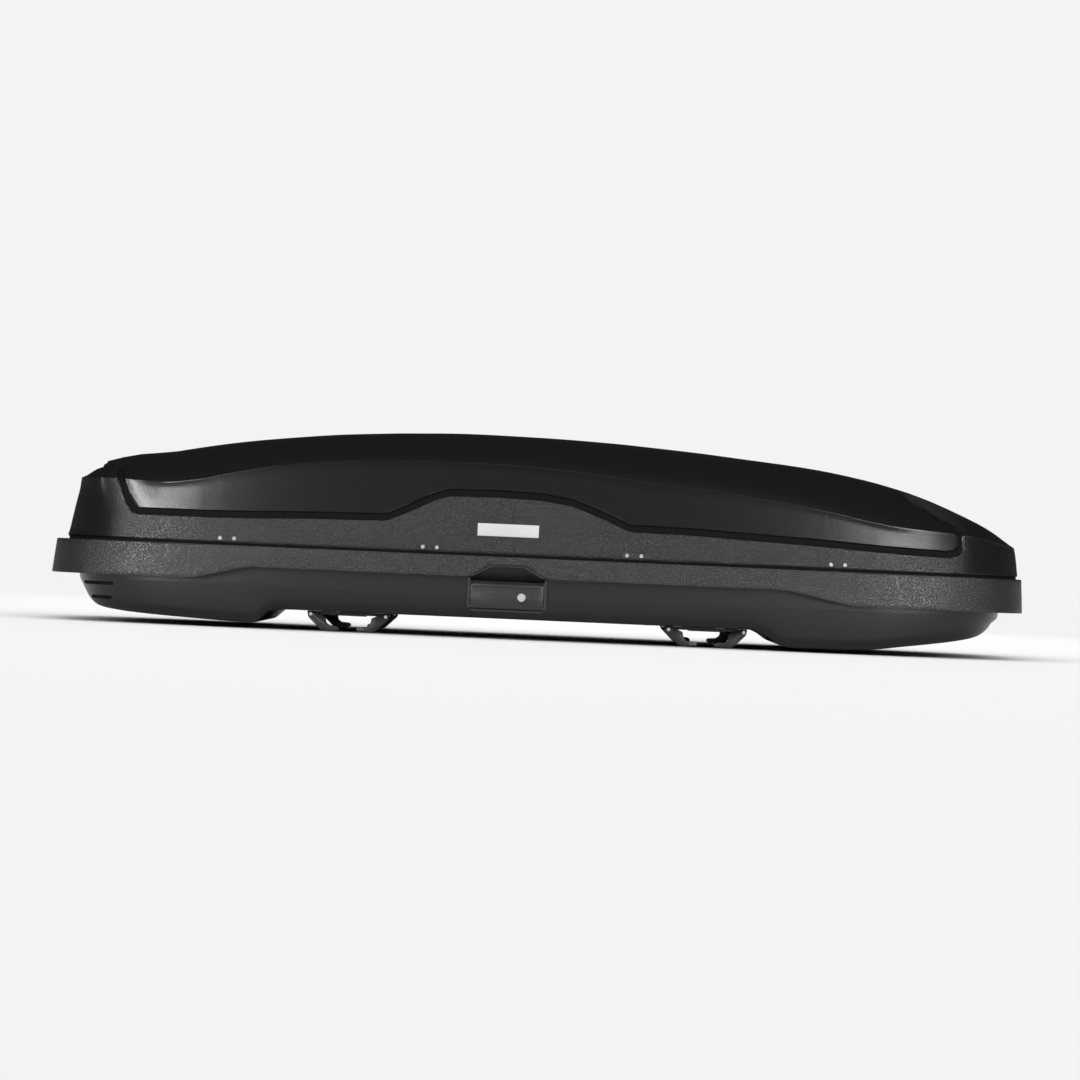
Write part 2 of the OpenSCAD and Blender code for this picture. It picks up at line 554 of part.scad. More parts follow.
module strut_tube() rotate([-90, 0, 0]) {
    difference() {
        union() {
            cylinder(r = 4, h = 80, $fn = 32);
            translate([0, 0, 60]) cylinder(r = 11, h = 414, $fn = 32);
            rod_x(8, -4, 4);
        }
        rod_x(4.3, -6, 6);
        translate([0, 0, 100]) cylinder(r = 5.2, h = 400, $fn = 32);
    }
}
module strut_rod() {
    rod_y(4.6, 250, 262);
    rod_y(4, 260, strut_len - 6);
    translate([0, strut_len, 0]) rod_x(8, -4, 4);
}
module strut_tube_front() color(black) front_strut_place() strut_tube();
module strut_tube_rear() color(black) rear_strut_place() strut_tube();
module strut_rod_front() color(bright) front_strut_place() strut_rod();
module strut_rod_rear() color(bright) rear_strut_place() strut_rod();

// Angle bracket and stud under the base end of a strut; s is the side it stands on
module strut_foot(s) {
    box(s > 0 ? [7, 23] : [-23, -7], [10, 15], [-pin_rise - 76, 4]);
    box(s > 0 ? [7, 12] : [-12, -7], [-4, 10.1], [-6, 4]);
    rod_x(4, s > 0 ? -5.5 : -11, s > 0 ? 11 : 5.5);
}
module strut_base_studs() color(steel) {
    translate([front_strut_x, -pin_y, pin_z]) strut_foot(1);
    mirror([0, 1, 0]) translate([rear_strut_x, -pin_y, pin_z]) strut_foot(-1);
}
// Bracket under the lid that the rod end bears on
module strut_hanger(x, s) {
    z = pin_z + strut_reach_z;
    translate([x, strut_reach_y - pin_y, 0]) {
        translate([0, 0, z]) rod_x(5, s > 0 ? 5.5 : -11, s > 0 ? 11 : -5.5);
        box(s > 0 ? [10, 14] : [-14, -10], [-10, 3], [z - 8, hanger_top(x)]);
    }
}
module strut_lid_studs() color(steel) {
    strut_hanger(front_strut_x, 1);
    mirror([0, 1, 0]) strut_hanger(rear_strut_x, -1);
}

base_shell();
lid_shell();
hinge_cradles_left();
hinge_cradles_right();
cradle_rivets_left();
cradle_rivets_right();
lid_brackets_left();
lid_brackets_right();
hinge_pins_left();
hinge_pins_right();
lid_rivets_left();
lid_rivets_right();
latch_rail_left();
latch_rail_right();
handle_housing_left();
handle_housing_right();
handle_paddle_left();
handle_paddle_right();
handle_pin_left();
handle_pin_right();
lock_cylinder_left();
lock_cylinder_right();
badge_plate_left();
badge_plate_right();
clamp_tracks();
track_rivets();
clamp_body_front_left();
clamp_body_front_right();
clamp_body_rear_left();
clamp_body_rear_right();
claw_front_of_front_left();
claw_front_of_front_right();
claw_front_of_rear_left();
claw_front_of_rear_right();
claw_back_of_front_left();
claw_back_of_front_right();
claw_back_of_rear_left();
claw_back_of_rear_right();
claw_pins_front_left();
claw_pins_front_right();
claw_pins_rear_left();
claw_pins_rear_right();
clamp_screw_front_left();
clamp_screw_front_right();
clamp_screw_rear_left();
clamp_screw_rear_right();
clamp_knob_front_left();
clamp_knob_front_right();
clamp_knob_rear_left();
clamp_knob_rear_right();
bar_pad_front_left();
bar_pad_front_right();
bar_pad_rear_left();
bar_pad_rear_right();
strut_tube_front();
strut_tube_rear();
strut_rod_front();
strut_rod_rear();
strut_base_studs();
strut_lid_studs();
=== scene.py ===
import json
import math

import bpy
import numpy as np
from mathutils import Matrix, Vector

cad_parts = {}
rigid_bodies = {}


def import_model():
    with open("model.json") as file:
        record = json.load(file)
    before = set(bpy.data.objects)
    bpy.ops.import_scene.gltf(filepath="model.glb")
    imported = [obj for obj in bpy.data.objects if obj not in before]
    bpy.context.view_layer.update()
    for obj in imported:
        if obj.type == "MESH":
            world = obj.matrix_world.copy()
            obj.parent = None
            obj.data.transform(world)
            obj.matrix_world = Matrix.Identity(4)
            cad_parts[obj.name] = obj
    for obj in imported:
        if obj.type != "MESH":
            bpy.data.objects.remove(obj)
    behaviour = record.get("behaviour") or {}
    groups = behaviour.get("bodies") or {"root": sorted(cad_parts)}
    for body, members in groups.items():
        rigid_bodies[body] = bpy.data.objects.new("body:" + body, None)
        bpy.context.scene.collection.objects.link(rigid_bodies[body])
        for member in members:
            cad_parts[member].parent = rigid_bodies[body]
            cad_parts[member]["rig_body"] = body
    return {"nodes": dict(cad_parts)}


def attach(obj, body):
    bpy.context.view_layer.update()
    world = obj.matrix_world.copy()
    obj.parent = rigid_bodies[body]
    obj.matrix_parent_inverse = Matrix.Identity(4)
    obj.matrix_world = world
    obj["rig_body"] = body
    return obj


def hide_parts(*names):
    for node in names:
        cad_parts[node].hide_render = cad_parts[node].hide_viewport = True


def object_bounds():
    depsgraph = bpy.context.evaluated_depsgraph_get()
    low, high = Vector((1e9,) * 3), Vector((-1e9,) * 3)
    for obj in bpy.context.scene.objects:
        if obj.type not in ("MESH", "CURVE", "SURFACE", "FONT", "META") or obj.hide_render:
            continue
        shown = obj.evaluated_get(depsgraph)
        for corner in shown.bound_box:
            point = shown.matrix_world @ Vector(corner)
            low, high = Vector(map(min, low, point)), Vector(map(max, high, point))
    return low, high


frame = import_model()
cad_box = [list(map(float, corner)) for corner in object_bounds()]

# ---------------------------------------------------------------- sizes, in metres
HALF_LENGTH, HALF_WIDTH = (round(reach, 4) for reach in cad_box[1][:2])
SEAM = 0.190
EDGE_HALF = HALF_WIDTH - 0.018
EDGE_GAP = 0.006
HOLD = 0.790
TAIL_SQUARE, NOSE_SQUARE = 5.0, 4.4
HANDLE_X = -0.069
SHEET = 0.004
GROOVE_DEPTH, VALLEY_DEPTH = 0.0062, 0.0020
LOUVRE_DEPTH, LOUVRE_BAND = 0.0024, 0.008
SHOULDER_HALF, SHOULDER_REAR, SHOULDER_FRONT = 0.418, 1.095, 1.131


def deselect():
    bpy.ops.object.select_all(action="DESELECT")


# ---------------------------------------------------------------- camera, floor and lights
def set_camera():
    cam = bpy.data.objects.new("studio_camera", bpy.data.cameras.new("studio_camera"))
    bpy.context.scene.collection.objects.link(cam)
    cam.data.sensor_width = 36
    cam.data.lens = 150
    cam.data.clip_end = 100
    eye = Vector((0.057, -10.86, SEAM + 0.004))
    aim = Vector((0.0, 0.0, SEAM + 0.045))
    cam.location = eye
    turn = (aim - eye).to_track_quat("-Z", "Y").to_euler()
    cam.rotation_euler = turn
    cam.rotation_euler.rotate_axis("Z", math.radians(2.5))
    bpy.context.scene.camera = cam


def floor_sheet():
    deselect()
    bpy.ops.mesh.primitive_plane_add(size=900, location=(0, 0, -0.0008))
    floor = bpy.context.object
    floor.name = "studio_floor"
    mat = bpy.data.materials.new("studio_paper")
    mat.use_nodes = True
    shader = mat.node_tree.nodes["Principled BSDF"]
    shader.inputs["Base Color"].default_value = (0.86, 0.86, 0.86, 1)
    shader.inputs["Roughness"].default_value = 0.9
    shader.inputs["Specular IOR Level"].default_value = 0.0
    floor.data.materials.append(mat)


def place_light(name, lamp, place, aim, in_reflections):
    """A light is either seen in what the box reflects, or lights the plain surfaces."""
    ob = bpy.data.objects.new(name, lamp)
    ob.location = place
    ob.rotation_euler = (Vector(aim) - Vector(place)).to_track_quat("-Z", "Y").to_euler()
    ob.visible_camera = False
    ob.visible_glossy = in_reflections
    ob.visible_diffuse = not in_reflections
    bpy.context.scene.collection.objects.link(ob)


def soft_light(name, place, aim, width, height, power, in_reflections=True):
    lamp = bpy.data.lights.new(name, "AREA")
    lamp.shape = "RECTANGLE"
    lamp.size, lamp.size_y, lamp.energy = width, height, power
    lamp.spread = math.radians(70)
    place_light(name, lamp, place, aim, in_reflections)


def studio():
    """Pale all round for the eye, and a dim room with a few soft lights for what it reflects."""
    bpy.context.scene.view_settings.view_transform = "Standard"
    world = bpy.data.worlds.new("studio_air")
    bpy.context.scene.world = world
    world.use_nodes = True
    nodes, links = world.node_tree.nodes, world.node_tree.links
    room = nodes["Background"]
    coord = nodes.new("ShaderNodeTexCoord")
    split = nodes.new("ShaderNodeSeparateXYZ")
    links.new(coord.outputs["Generated"], split.inputs[0])

    def ramp(source, stops):
        made = nodes.new("ShaderNodeValToRGB")
        links.new(source, made.inputs[0])
        for k, (at, level) in enumerate(stops):
            stop = made.color_ramp.elements[k] if k < 2 else made.color_ramp.elements.new(at)
            stop.position, stop.color = at, (level, level, level, 1)
        return made.outputs[0]

    height = ramp(split.outputs["Z"],
                  ((0.0, 0.34), (1.0, 0.06), (0.10, 0.28), (0.26, 0.12), (0.5, 0.07)))
    ahead = nodes.new("ShaderNodeMapRange")
    ahead.inputs["From Min"].default_value, ahead.inputs["From Max"].default_value = 0.9, -0.5
    ahead.inputs["To Min"].default_value, ahead.inputs["To Max"].default_value = 0.12, 1.0
    links.new(split.outputs["Y"], ahead.inputs["Value"])
    level = nodes.new("ShaderNodeMix")
    level.data_type, level.blend_type = "RGBA", "MULTIPLY"
    level.inputs[0].default_value = 1.0
    links.new(height, level.inputs[6])
    links.new(ahead.outputs[0], level.inputs[7])
    links.new(level.outputs[2], room.inputs[0])
    paper = nodes.new("ShaderNodeBackground")
    paper.inputs[0].default_value = (0.90, 0.90, 0.90, 1)
    path = nodes.new("ShaderNodeLightPath")
    pick = nodes.new("ShaderNodeMixShader")
    links.new(path.outputs["Is Camera Ray"], pick.inputs[0])
    links.new(room.outputs[0], pick.inputs[1])
    links.new(paper.outputs[0], pick.inputs[2])
    links.new(pick.outputs[0], nodes["World Output"].inputs[0])

    soft_sky = bpy.data.lights.new("soft_sky", "SUN")
    soft_sky.energy, soft_sky.angle = 3.28, math.radians(120)
    place_light("soft_sky", soft_sky, (0, -2, 6), (0, 0, 0), False)
    soft_light("tail_strip", (-3.5, -4.7, 0.9), (-0.93, -0.4, 0.2), 0.9, 2.4, 46)
    soft_light("nose_strip", (3.2, -4.85, 0.9), (0.88, -0.4, 0.2), 0.7, 2.4, 40)
    soft_light("roof_band", (-0.2, -0.9, 3.6), (-0.2, -0.3, 0.4), 3.2, 0.7, 8)
    soft_light("far_fill", (0.4, 5.5, 1.8), (0, 0, 0.2), 3.0, 2.0, 15, False)


set_camera()
floor_sheet()
studio()


# ---------------------------------------------------------------- finishes
def node(tree, kind, **values):
    made = tree.nodes.new(kind)
    for key, value in values.items():
        if hasattr(made, key):
            setattr(made, key, value)
        else:
            made.inputs[key.replace("_", " ")].default_value = value
    return made


def grain_group():
    """Pebbled skin of a moulded sheet: a height, a slow blotch for colour and gloss, a rub mask for
    wear, and the pebble peaks as a mask for painted glints.
    """
    g = bpy.data.node_groups.new("pebbled_skin", "ShaderNodeTree")
    for name, kind in (("Vector", "NodeSocketVector"), ("Pebble Size", "NodeSocketFloat"),
                       ("Fine Share", "NodeSocketFloat")):
        g.interface.new_socket(name, in_out="INPUT", socket_type=kind)
    for name in ("Height", "Blotch", "Scuff", "Painted Glint"):
        g.interface.new_socket(name, in_out="OUTPUT", socket_type="NodeSocketFloat")
    n_in, n_out = node(g, "NodeGroupInput"), node(g, "NodeGroupOutput")
    one = node(g, "ShaderNodeMath", operation="DIVIDE")
    one.inputs[0].default_value = 1.0
    g.links.new(n_in.outputs["Pebble Size"], one.inputs[1])
    cells = node(g, "ShaderNodeTexNoise", Detail=1.6, Roughness=0.55)
    g.links.new(n_in.outputs["Vector"], cells.inputs["Vector"])
    g.links.new(one.outputs[0], cells.inputs["Scale"])
    dome = node(g, "ShaderNodeMapRange", interpolation_type="SMOOTHSTEP")
    dome.inputs["From Min"].default_value, dome.inputs["From Max"].default_value = 0.38, 0.64
    g.links.new(cells.outputs[0], dome.inputs["Value"])
    # The pebble peaks: the mask for painted glints, light caught on the bumps painted into the
    # colour.
    peak = node(g, "ShaderNodeMapRange")
    peak.inputs["From Min"].default_value, peak.inputs["From Max"].default_value = 0.55, 0.70
    g.links.new(cells.outputs[0], peak.inputs["Value"])
    g.links.new(peak.outputs[0], n_out.inputs["Painted Glint"])
    fine = node(g, "ShaderNodeTexNoise", Scale=900.0, Detail=3.0)
    g.links.new(n_in.outputs["Vector"], fine.inputs["Vector"])
    both = node(g, "ShaderNodeMix", data_type="FLOAT")
    g.links.new(n_in.outputs["Fine Share"], both.inputs[0])
    g.links.new(dome.outputs[0], both.inputs[2])
    g.links.new(fine.outputs[0], both.inputs[3])
    g.links.new(both.outputs[0], n_out.inputs["Height"])
    slow = node(g, "ShaderNodeTexNoise", Scale=5.0, Detail=5.0, Roughness=0.6)
    g.links.new(n_in.outputs["Vector"], slow.inputs["Vector"])
    g.links.new(slow.outputs[0], n_out.inputs["Blotch"])
    rub = node(g, "ShaderNodeTexNoise", Scale=38.0, Detail=8.0, Roughness=0.72)
    g.links.new(n_in.outputs["Vector"], rub.inputs["Vector"])
    keep = node(g, "ShaderNodeMapRange")
    keep.inputs["From Min"].default_value, keep.inputs["From Max"].default_value = 0.62, 0.78
    g.links.new(rub.outputs[0], keep.inputs["Value"])
    g.links.new(keep.outputs[0], n_out.inputs["Scuff"])
    return g


def streak_group():
    """Drawn or ground metal: long fine lines along one direction."""
    g = bpy.data.node_groups.new("drawn_lines", "ShaderNodeTree")
    g.interface.new_socket("Vector", in_out="INPUT", socket_type="NodeSocketVector")
    for name in ("Height", "Blotch"):
        g.interface.new_socket(name, in_out="OUTPUT", socket_type="NodeSocketFloat")
    n_in, n_out = node(g, "NodeGroupInput"), node(g, "NodeGroupOutput")
    turn = node(g, "ShaderNodeMapping")
    turn.inputs["Scale"].default_value = (40, 900, 900)
    g.links.new(n_in.outputs[0], turn.inputs["Vector"])
    lines = node(g, "ShaderNodeTexNoise", Scale=1.0, Detail=4.0)
    g.links.new(turn.outputs[0], lines.inputs["Vector"])
    g.links.new(lines.outputs[0], n_out.inputs["Height"])
    slow = node(g, "ShaderNodeTexNoise", Scale=60.0, Detail=5.0)
    g.links.new(n_in.outputs[0], slow.inputs["Vector"])
    g.links.new(slow.outputs[0], n_out.inputs["Blotch"])
    return g


PEBBLED, DRAWN = grain_group(), streak_group()


def tint(tree, amount, under, over):
    """A colour laid over with a plain one by an amount."""
    mix = node(tree, "ShaderNodeMix", data_type="RGBA")
    tree.links.new(amount, mix.inputs[0])
    tree.links.new(under, mix.inputs[6])
    mix.inputs[7].default_value = (*over, 1)
    return mix.outputs[2]


def ramp_between(tree, source, low, high):
    mix = node(tree, "ShaderNodeMix", data_type="RGBA")
    tree.links.new(source, mix.inputs[0])
    mix.inputs[6].default_value = (*low, 1)
    mix.inputs[7].default_value = (*high, 1)
    return mix.outputs[2]


def spread(tree, source, low, high):
    span = node(tree, "ShaderNodeMapRange")
    span.inputs["To Min"].default_value, span.inputs["To Max"].default_value = low, high
    tree.links.new(source, span.inputs["Value"])
    return span.outputs[0]


def plastic(name, dark, light, rough, pebble, fine, depth, zones=None, painted_glint=0.0, shine=0.5):
    mat = bpy.data.materials.new(name)
    mat.use_nodes = True
    tree = mat.node_tree
    shader = tree.nodes["Principled BSDF"]
    coord = node(tree, "ShaderNodeTexCoord")
    skin = node(tree, "ShaderNodeGroup")
    skin.node_tree = PEBBLED
    skin.inputs["Pebble Size"].default_value = pebble
    skin.inputs["Fine Share"].default_value = fine
    tree.links.new(coord.outputs["Object"], skin.inputs["Vector"])
    color = ramp_between(tree, skin.outputs["Blotch"], dark, light)
    worn = [min(1, 1.7 * c) for c in light]
    color = tint(tree, spread(tree, skin.outputs["Scuff"], 0.0, 0.35), color, worn)
    # Painted glints: the colour is lightened on the pebble peaks, where light would catch the
    # bumps.
    if painted_glint:
        glint = spread(tree, skin.outputs["Painted Glint"], 0.0, painted_glint)
        color = tint(tree, glint, color, (0.085, 0.085, 0.088))
    rough_out = spread(tree, skin.outputs["Blotch"], rough - 0.05, rough + 0.06)
    height = skin.outputs["Height"]
    if zones:
        attr = node(tree, "ShaderNodeAttribute", attribute_name="pebbled")
        smooth = node(tree, "ShaderNodeMath", operation="SUBTRACT")
        smooth.inputs[0].default_value = 1.0
        tree.links.new(attr.outputs["Fac"], smooth.inputs[1])
        color = tint(tree, smooth.outputs[0], color, zones[0])
        gloss = node(tree, "ShaderNodeMix", data_type="FLOAT")
        tree.links.new(smooth.outputs[0], gloss.inputs[0])
        tree.links.new(rough_out, gloss.inputs[2])
        gloss.inputs[3].default_value = zones[1]
        rough_out = gloss.outputs[0]
        calm = node(tree, "ShaderNodeMath", operation="MULTIPLY")
        tree.links.new(height, calm.inputs[0])
        tree.links.new(spread(tree, smooth.outputs[0], 1.0, zones[2]), calm.inputs[1])
        height = calm.outputs[0]
        # Painted shade: the colour goes near black on the groove floor, where shade falls in the
        # recess.
        groove_shade = node(tree, "ShaderNodeAttribute", attribute_name="groove")
        color = tint(tree, groove_shade.outputs["Fac"], color, (0.002, 0.002, 0.002))
    tree.links.new(color, shader.inputs["Base Color"])
    tree.links.new(rough_out, shader.inputs["Roughness"])
    bump = node(tree, "ShaderNodeBump")
    bump.inputs["Strength"].default_value = 1.0
    bump.inputs["Distance"].default_value = depth
    tree.links.new(height, bump.inputs["Height"])
    tree.links.new(bump.outputs[0], shader.inputs["Normal"])
    shader.inputs["Specular IOR Level"].default_value = shine
    return mat


def metal(name, dark, light, rough, depth, metallic=1.0):
    mat = bpy.data.materials.new(name)
    mat.use_nodes = True
    tree = mat.node_tree
    shader = tree.nodes["Principled BSDF"]
    coord = node(tree, "ShaderNodeTexCoord")
    lines = node(tree, "ShaderNodeGroup")
    lines.node_tree = DRAWN
    tree.links.new(coord.outputs["Object"], lines.inputs["Vector"])
    tree.links.new(ramp_between(tree, lines.outputs["Blotch"], dark, light),
                   shader.inputs["Base Color"])
    tree.links.new(spread(tree, lines.outputs["Blotch"], rough - 0.08, rough + 0.12),
                   shader.inputs["Roughness"])
    shader.inputs["Metallic"].default_value = metallic
    bump = node(tree, "ShaderNodeBump")
    bump.inputs["Strength"].default_value = 0.6
    bump.inputs["Distance"].default_value = depth
    tree.links.new(lines.outputs["Height"], bump.inputs["Height"])
    tree.links.new(bump.outputs[0], shader.inputs["Normal"])
    return mat


LID_SKIN = plastic("lid_sheet_black", (0.014, 0.0135, 0.0145), (0.022, 0.021, 0.023), 0.34, 0.0036,
                   0.15, 0.0008, zones=((0.0075, 0.0070, 0.0082), 0.27, 0.15), painted_glint=0.32,
                   shine=0.35)
BASE_SKIN = plastic("base_sheet_black", (0.017, 0.0165, 0.018), (0.026, 0.025, 0.027), 0.34, 0.0036,
                    0.15, 0.0008, zones=((0.013, 0.0125, 0.0137), 0.34, 0.15), painted_glint=0.32,
                    shine=0.38)
# Near-black painted shade for the groove floor, the hem behind the seam and the louvre cuts, where
# shade falls.
PAINTED_SHADE_BLACK = plastic("painted_shade_black", (0.0025, 0.0025, 0.0027), (0.004, 0.004, 0.0042),
                       0.75, 0.002, 0.6, 0.0001, shine=0.12)
HANDLE_BLACK = plastic("handle_moulding_black", (0.010, 0.010, 0.011), (0.016, 0.016, 0.017),
                       0.42, 0.0022, 0.6, 0.00018)
CLAMP_BLACK = plastic("clamp_nylon_black", (0.012, 0.012, 0.013), (0.019, 0.019, 0.020),
                      0.48, 0.0014, 0.7, 0.00015)
CLAW_BLACK = plastic("claw_nylon_black", (0.009, 0.009, 0.010), (0.015, 0.015, 0.016),
                     0.45, 0.0014, 0.7, 0.00015)
PAD_RUBBER = plastic("bar_pad_rubber", (0.008, 0.008, 0.008), (0.015, 0.015, 0.015),
                     0.75, 0.0009, 0.8, 0.0001)
ZINC = metal("zinc_plated_strip", (0.42, 0.42, 0.43), (0.60, 0.60, 0.62), 0.34, 0.00004)
BRIGHT = metal("bright_pin_steel", (0.62, 0.62, 0.64), (0.78, 0.78, 0.80), 0.24, 0.00002)
CHROME = metal("lock_chrome", (0.80, 0.80, 0.82), (0.92, 0.92, 0.93), 0.14, 0.00001)
STRUT_BLACK = plastic("strut_tube_lacquer", (0.008, 0.008, 0.009), (0.013, 0.013, 0.014),
                      0.28, 0.0009, 0.9, 0.00003)
BADGE_GREY = plastic("badge_pale_grey", (0.70, 0.70, 0.71), (0.78, 0.78, 0.79),
                     0.36, 0.0012, 0.8, 0.00005)

FINISH = (("lid_shell", LID_SKIN), ("base_shell", BASE_SKIN), ("handle_housing", HANDLE_BLACK),
          ("handle_paddle", HANDLE_BLACK), ("clamp_body", CLAMP_BLACK), ("clamp_knob", CLAMP_BLACK),
          ("claw_pins", BRIGHT), ("claw_", CLAW_BLACK), ("bar_pad", PAD_RUBBER),
          ("lock_cylinder", CHROME), ("badge_plate", BADGE_GREY), ("strut_tube", STRUT_BLACK),
          ("strut_rod", CHROME), ("rivets", BRIGHT), ("hinge_pins", BRIGHT),
          ("clamp_screw", BRIGHT), ("", ZINC))


def dress_cad_nodes():
    for name, ob in frame["nodes"].items():
        finish = next(mat for key, mat in FINISH if key in name)
        if not ob.data.materials:
            ob.data.materials.append(finish)
        for i in range(len(ob.material_slots)):
            ob.material_slots[i].material = finish


dress_cad_nodes()

# ---------------------------------------------------------------- lines of the two shells
# Pairs of place along the box and height over the seam
ROOF = ((-1.155, 0.146), (-1.093, 0.148), (-1.059, 0.172), (-1.007, 0.188), (-0.903, 0.214),
        (-0.799, 0.236), (-0.695, 0.253), (-0.591, 0.266), (-0.486, 0.277), (-0.399, 0.283),
        (-0.330, 0.287), (-0.164, 0.292), (0.0, 0.290), (0.166, 0.284), (0.273, 0.277),
        (0.369, 0.270), (0.457, 0.262), (0.640, 0.244), (0.763, 0.224), (0.885, 0.194),
        (1.007, 0.147), (1.069, 0.117), (1.124, 0.079), (1.131, 0.074), (1.155, 0.072))
CREASE = ((-1.155, 0.146), (-0.957, 0.145), (-0.876, 0.142), (-0.800, 0.151), (-0.724, 0.169),
          (-0.623, 0.189), (-0.522, 0.203), (-0.386, 0.214), (-0.265, 0.217), (-0.104, 0.216),
          (0.056, 0.209), (0.267, 0.187), (0.386, 0.178), (0.535, 0.160), (0.684, 0.137),
          (0.779, 0.118), (0.863, 0.107), (0.975, 0.099), (1.046, 0.091), (1.080, 0.082),
          (1.131, 0.073), (1.155, 0.072))
BELLY = ((-1.155, -0.144), (-1.059, -0.155), (-0.946, -0.166), (-0.806, -0.173), (-0.659, -0.178),
         (-0.634, -0.160), (-0.618, -0.148), (-0.573, -0.144), (0.493, -0.144), (0.541, -0.159),
         (0.576, -0.179), (0.612, -0.183), (0.720, -0.182), (0.777, -0.179), (0.866, -0.168),
         (0.990, -0.151), (1.064, -0.138), (1.155, -0.128))
SKIRT = ((-1.155, 0.080), (-0.825, 0.080), (-0.648, 0.048), (0.547, 0.048), (0.766, 0.080),
         (1.155, 0.080))
GROOVE = ((-0.992, 0.176), (-0.985, 0.158), (-0.962, 0.098), (-0.947, 0.076), (-0.935, 0.071),
          (-0.775, 0.071), (-0.674, 0.073), (-0.522, 0.078), (-0.356, 0.081), (-0.303, 0.105),
          (-0.249, 0.132), (-0.212, 0.144), (-0.104, 0.146), (0.002, 0.143), (0.078, 0.132),
          (0.153, 0.104), (0.211, 0.079), (0.360, 0.077), (0.446, 0.073), (0.624, 0.066),
          (0.803, 0.056), (0.952, 0.051), (0.975, 0.056), (0.987, 0.074), (0.985, 0.098),
          (0.969, 0.114), (0.910, 0.153), (0.860, 0.176))
GROOVE_FLOOR = GROOVE[4:22]


def along(line, x, smooth=True):
    """Height of a line at x, on a curve that never overshoots its points."""
    px, pz = np.array(line).T
    if not smooth:
        return np.interp(x, px, pz)
    step = np.diff(px)
    slope = np.diff(pz) / step
    tangent = np.zeros(len(px))
    same = slope[:-1] * slope[1:] > 0
    mean = 2 * slope[:-1] * slope[1:] / np.where(same, slope[:-1] + slope[1:], 1)
    tangent[1:-1] = np.where(same, mean, 0)
    tangent[0], tangent[-1] = slope[0], slope[-1]
    k = np.clip(np.searchsorted(px, x) - 1, 0, len(step) - 1)
    t = np.clip((x - px[k]) / step[k], 0, 1)
    h = step[k]
    return ((2 * t**3 - 3 * t**2 + 1) * pz[k] + (t**3 - 2 * t**2 + t) * h * tangent[k]
            + (3 * t**2 - 2 * t**3) * pz[k + 1] + (t**3 - t**2) * h * tangent[k + 1])


def pull(x, rear, front):
    reach = np.where(x < 0, rear, front)
    inner = np.clip(np.abs(x) - HOLD, 0, None)
    outer = inner * (reach - HOLD) / (HALF_LENGTH - HOLD)
    return np.sign(x) * (np.minimum(np.abs(x), HOLD) + outer)


def plan_share(x):
    power = np.where(x < 0, TAIL_SQUARE, NOSE_SQUARE)
    return np.clip(1 - (np.abs(x) / HALF_LENGTH) ** power, 0, 1) ** (1 / power)


def plan_stations(step, dense, dense_step):
    """Places along the box with the share of full width, tail to nose."""
    marks = [-1.02]
    while marks[-1] < 1.02:
        x = marks[-1]
        marks.append(x + (dense_step if any(a <= x <= b for a, b in dense) else step))
    mid = np.array(marks)
    ends = []
    for sign, x0, power in ((-1, mid[0], TAIL_SQUARE), (1, mid[-1], NOSE_SQUARE)):
        share = np.linspace(0, float(plan_share(np.array([x0]))[0]), int(0.40 / step) + 2)[:-1]
        xs = sign * HALF_LENGTH * (1 - share**power) ** (1 / power)
        ends.append((xs, share))
    nose = tuple(a[::-1] for a in ends[1])
    return (np.concatenate([ends[0][0], mid, nose[0]]),
            np.concatenate([ends[0][1], plan_share(mid), nose[1]]))


def closed_skin(name, rows):
    """A closed mesh through rows of points. Each row runs tail to nose on the right side."""
    right = np.array(rows)
    left = right[:, -2:0:-1].copy()
    left[:, :, 1] *= -1
    ring = np.concatenate([right, left], axis=1)
    count, around = ring.shape[:2]
    n = right.shape[1]
    quads = []
    for j in range(count - 1):
        a = j * around + np.arange(around)
        b = j * around + (np.arange(around) + 1) % around
        quads.append(np.stack([a, a + around, b + around, b], axis=1))
    faces = np.concatenate(quads).tolist()
    for j, turn in ((0, 1), (count - 1, -1)):
        for i in range(n - 1):
            loop = [i, i + 1, (around - i - 1) % around, (around - i) % around]
            loop = list(dict.fromkeys(loop))
            faces.append([j * around + v for v in (loop if turn > 0 else loop[::-1])])
    mesh = bpy.data.meshes.new(name)
    mesh.from_pydata(ring.reshape(-1, 3).tolist(), [], faces)
    mesh.update()
    ob = bpy.data.objects.new(name, mesh)
    bpy.context.scene.collection.objects.link(ob)
    return ob, ring


def point_normals(ring):
    a = np.roll(ring, -1, axis=1) - np.roll(ring, 1, axis=1)
    b = np.empty_like(ring)
    b[1:-1] = ring[2:] - ring[:-2]
    b[0], b[-1] = ring[1] - ring[0], ring[-1] - ring[-2]
    n = np.cross(b, a)
    return n / np.maximum(np.linalg.norm(n, axis=2, keepdims=True), 1e-9)


def distance_to(line, x, z):
    best = np.full(x.shape, 9.0)
    for (ax, az), (bx, bz) in zip(line[:-1], line[1:]):
        dx, dz = bx - ax, bz - az
        t = np.clip(((x - ax) * dx + (z - az) * dz) / (dx * dx + dz * dz), 0, 1)
        best = np.minimum(best, np.hypot(x - ax - t * dx, z - az - t * dz))
    return best


def inside(line, x, z):
    px, pz = np.array(line).T
    hit = np.zeros(x.shape, bool)
    for i in range(len(px)):
        j = i - 1
        cross = (pz[i] > z) != (pz[j] > z)
        at = (px[j] - px[i]) * (z - pz[i]) / (pz[j] - pz[i] + 1e-12) + px[i]
        hit ^= cross & (x < at)
    return hit


def smooth_step(low, high, value):
    t = np.clip((value - low) / (high - low), 0, 1)
    return t * t * (3 - 2 * t)


def mark(ob, name, values):
    layer = ob.data.attributes.new(name, "FLOAT", "POINT")
    layer.data.foreach_set("value", np.asarray(values, dtype=np.float32).ravel())


def settle(ob, body, node_name, finish, angle=32):
    if finish:
        ob.data.materials.append(finish)
    deselect()
    bpy.context.view_layer.objects.active = ob
    ob.select_set(True)
    bpy.ops.object.shade_smooth_by_angle(angle=math.radians(angle))
    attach(ob, body)
    if node_name:
        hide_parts(*([node_name] if isinstance(node_name, str) else node_name))
    return ob


